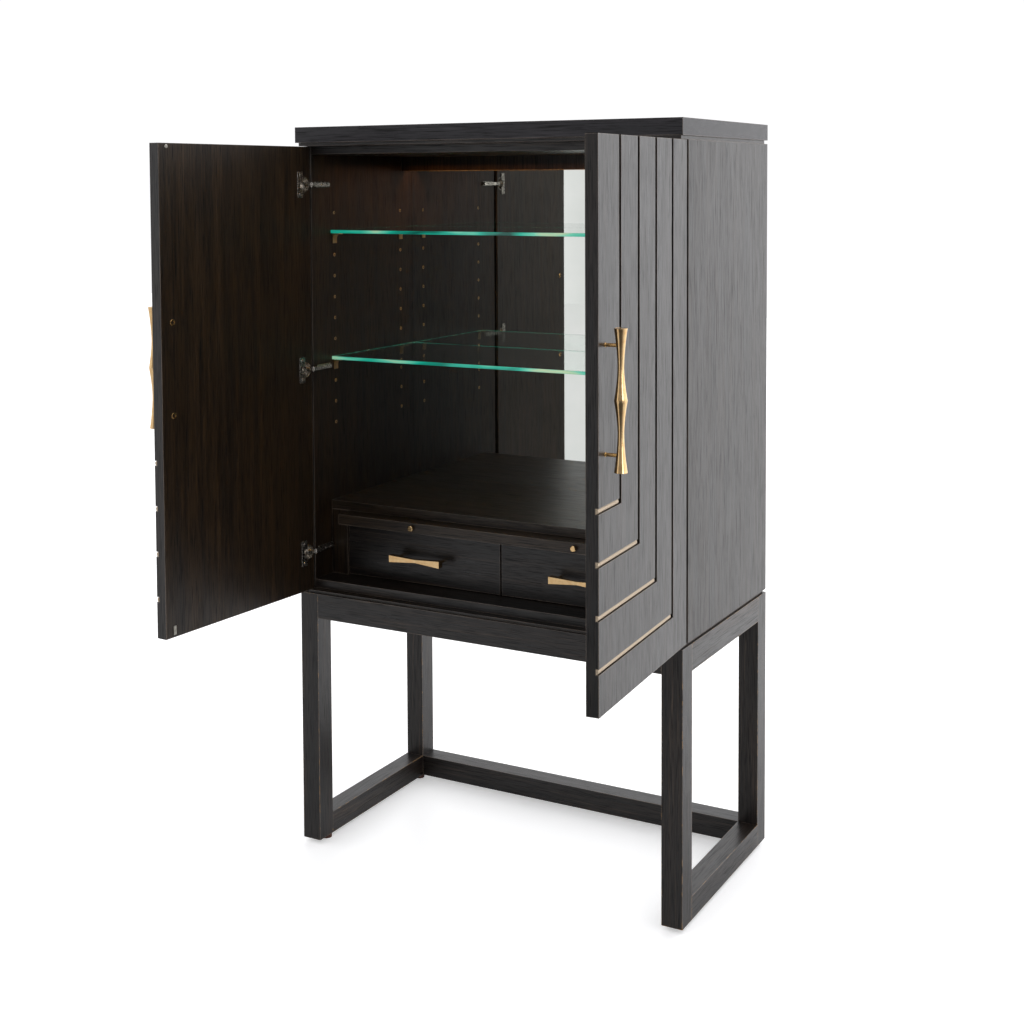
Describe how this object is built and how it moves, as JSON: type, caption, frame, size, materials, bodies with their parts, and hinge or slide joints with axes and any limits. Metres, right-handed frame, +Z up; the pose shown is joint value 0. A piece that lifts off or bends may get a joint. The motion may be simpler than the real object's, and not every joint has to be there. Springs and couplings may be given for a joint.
{
  "type": "drinks cabinet",
  "caption": "Black ash drinks cabinet on an open stand, doors open on a mirrored bar with glass shelves, a light, a pull-out tray and drawers.",
  "frame": {"origin": "on the floor, under the centre of the bounding box of the cabinet with its doors open", "axes": "+X to the right seen from the front, +Y from the front to the back, +Z up"},
  "size_m": [1.1178, 0.9804, 1.71],
  "materials": {
    "black_ash": "satin black-stained open-grain ash",
    "dark_interior": "satin dark stained board",
    "brass": "satin brass",
    "nickel": "bright nickel plate",
    "mirror": "silvered glass",
    "glass": "clear glass with green edges",
    "light_metal": "satin anodised with a warm diffuser",
    "glide_plastic": "moulded reddish-brown plastic",
    "drawer_wood": "clear lacquered hardwood"
  },
  "bodies": {
    "cabinet": {"back_panel": "dark_interior", "base_rail_left": "black_ash", "base_rail_rear": "black_ash", "base_rail_right": "black_ash", "bottom_board": "black_ash", "cabinet_top": "black_ash", "counter": "black_ash", "drawer_divider": "dark_interior", "drawer_guide_left": "dark_interior", "drawer_guide_right": "dark_interior", "dust_panel": "dark_interior", "glass_shelf_lower": "glass", "glass_shelf_upper": "glass", "glide_front_left": "glide_plastic", "glide_front_right": "glide_plastic", "glide_rear_left": "glide_plastic", "glide_rear_right": "glide_plastic", "hinge_arm_left_1": "nickel", "hinge_arm_left_2": "nickel", "hinge_arm_left_3": "nickel", "hinge_arm_right_1": "nickel", "hinge_arm_right_2": "nickel", "hinge_arm_right_3": "nickel", "leg_front_left": "black_ash", "leg_front_right": "black_ash", "leg_rear_left": "black_ash", "leg_rear_right": "black_ash", "light_bar": "light_metal", "light_valance": "dark_interior", "lower_reveal": "black_ash", "mirror": "mirror", "side_panel_left": "black_ash", "side_panel_right": "black_ash", "stile_left": "black_ash", "stile_right": "black_ash", "top_board": "black_ash", "top_rail_front": "black_ash", "top_rail_left": "black_ash", "top_rail_rear": "black_ash", "top_rail_right": "black_ash", "upper_reveal": "black_ash"},
    "door_left": {"door_left": "black_ash", "door_pull_left": "brass", "hinge_cup_left_1": "nickel", "hinge_cup_left_2": "nickel", "hinge_cup_left_3": "nickel"},
    "door_right": {"door_pull_right": "brass", "door_right": "black_ash", "hinge_cup_right_1": "nickel", "hinge_cup_right_2": "nickel", "hinge_cup_right_3": "nickel"},
    "drawer_left": {"drawer_box_left": "drawer_wood", "drawer_front_left": "black_ash", "drawer_pull_left": "brass"},
    "drawer_right": {"drawer_box_right": "drawer_wood", "drawer_front_right": "black_ash", "drawer_pull_right": "brass"},
    "tray": {"tray": "black_ash", "tray_knob_left": "brass", "tray_knob_right": "brass"}
  },
  "joints": [
    {"name": "door_hinge_left", "type": "hinge", "parent": "cabinet", "child": "door_left", "pos_m": [-0.4787, -0.01249, 1.1394], "axis": [0, 0, -1], "range_deg": [-93.65, 1.35]},
    {"name": "door_hinge_right", "type": "hinge", "parent": "cabinet", "child": "door_right", "pos_m": [0.4787, -0.01249, 1.1394], "axis": [0, 0, 1], "range_deg": [-93.65, 1.35]},
    {"name": "drawer_slide_left", "type": "slide", "parent": "cabinet", "child": "drawer_left", "axis": [0, -1, 0], "range_m": [0, 0.26]},
    {"name": "drawer_slide_right", "type": "slide", "parent": "cabinet", "child": "drawer_right", "axis": [0, -1, 0], "range_m": [0, 0.26]},
    {"name": "tray_slide", "type": "slide", "parent": "cabinet", "child": "tray", "axis": [0, -1, 0], "range_m": [-0.043, 0.2]}
  ]
}
